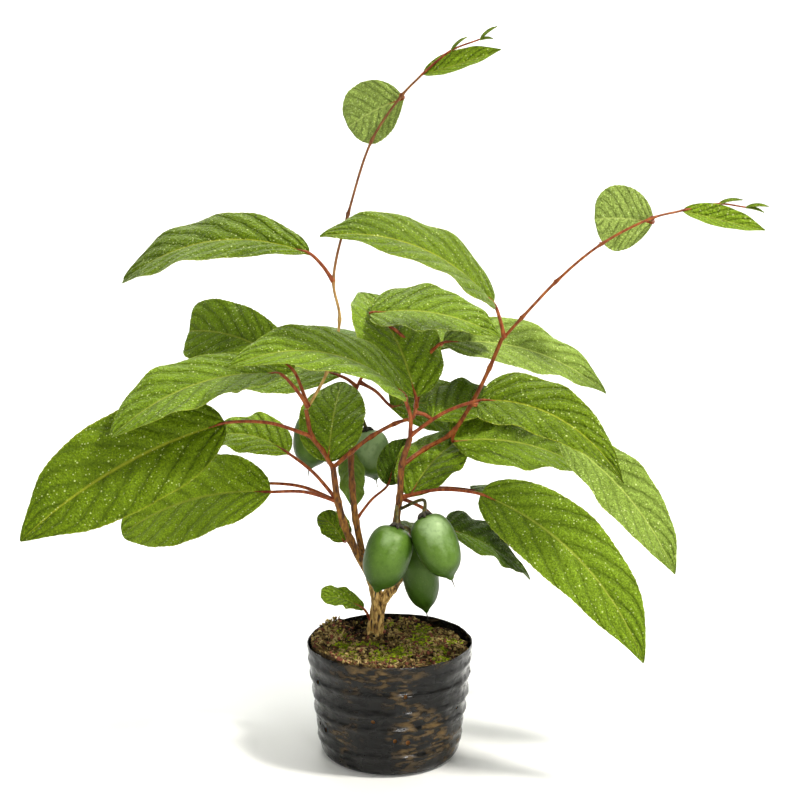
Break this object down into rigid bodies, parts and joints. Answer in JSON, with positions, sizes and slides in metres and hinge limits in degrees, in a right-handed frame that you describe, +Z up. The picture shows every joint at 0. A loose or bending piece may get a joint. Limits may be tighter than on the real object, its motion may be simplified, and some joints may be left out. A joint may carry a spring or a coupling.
{
  "type": "potted kiwi vine",
  "caption": "Young fruiting hardy kiwi vine in a black film nursery bag, with long oval leaves on red stalks, green fruits and two long thin shoots.",
  "frame": {"origin": "centre of the bag's flat underside, where it meets the ground", "axes": "+Z up along the plant's height, -Y towards the viewer of the picture, +X to the picture's right"},
  "size_m": [0.4225, 0.2329, 0.4285],
  "materials": {
    "bag_film": "satin black film, creased",
    "soil": "dry crumbs with moss",
    "bark": "rough, tan to orange brown",
    "stem": "smooth, red brown",
    "leaf": "soft sheen, veined",
    "young_leaf": "matt, pale",
    "fruit": "satin skin"
  },
  "bodies": {
    "root": {"grow_bag": "bag_film", "soil": "soil", "trunk": "bark", "stem_left": "bark", "stem_left_upper": "stem", "shoot_tall": "stem", "stem_cross": "stem", "stem_middle": "bark", "stem_centre": "bark", "stem_right": "stem", "shoot_right": "stem", "foliage_centre": "leaf", "foliage_front": "leaf", "foliage_back": "leaf", "foliage_right": "leaf", "foliage_right_under": "leaf", "foliage_left": "leaf", "foliage_big_left": "leaf", "foliage_low_left": "leaf", "foliage_low_right": "leaf", "foliage_inner": "leaf", "foliage_inner_back": "leaf", "foliage_hanging": "leaf", "foliage_low_inner": "leaf", "foliage_low_back": "leaf", "foliage_basal": "leaf", "foliage_high_left": "leaf", "foliage_high_centre": "leaf", "foliage_round_top": "young_leaf", "foliage_round_right": "young_leaf", "foliage_tip_top": "young_leaf", "foliage_tip_right": "young_leaf", "fruit_front_left": "fruit", "fruit_front_right": "fruit", "fruit_front_low": "fruit", "fruit_left": "fruit", "fruit_middle": "fruit"}
  },
  "joints": []
}
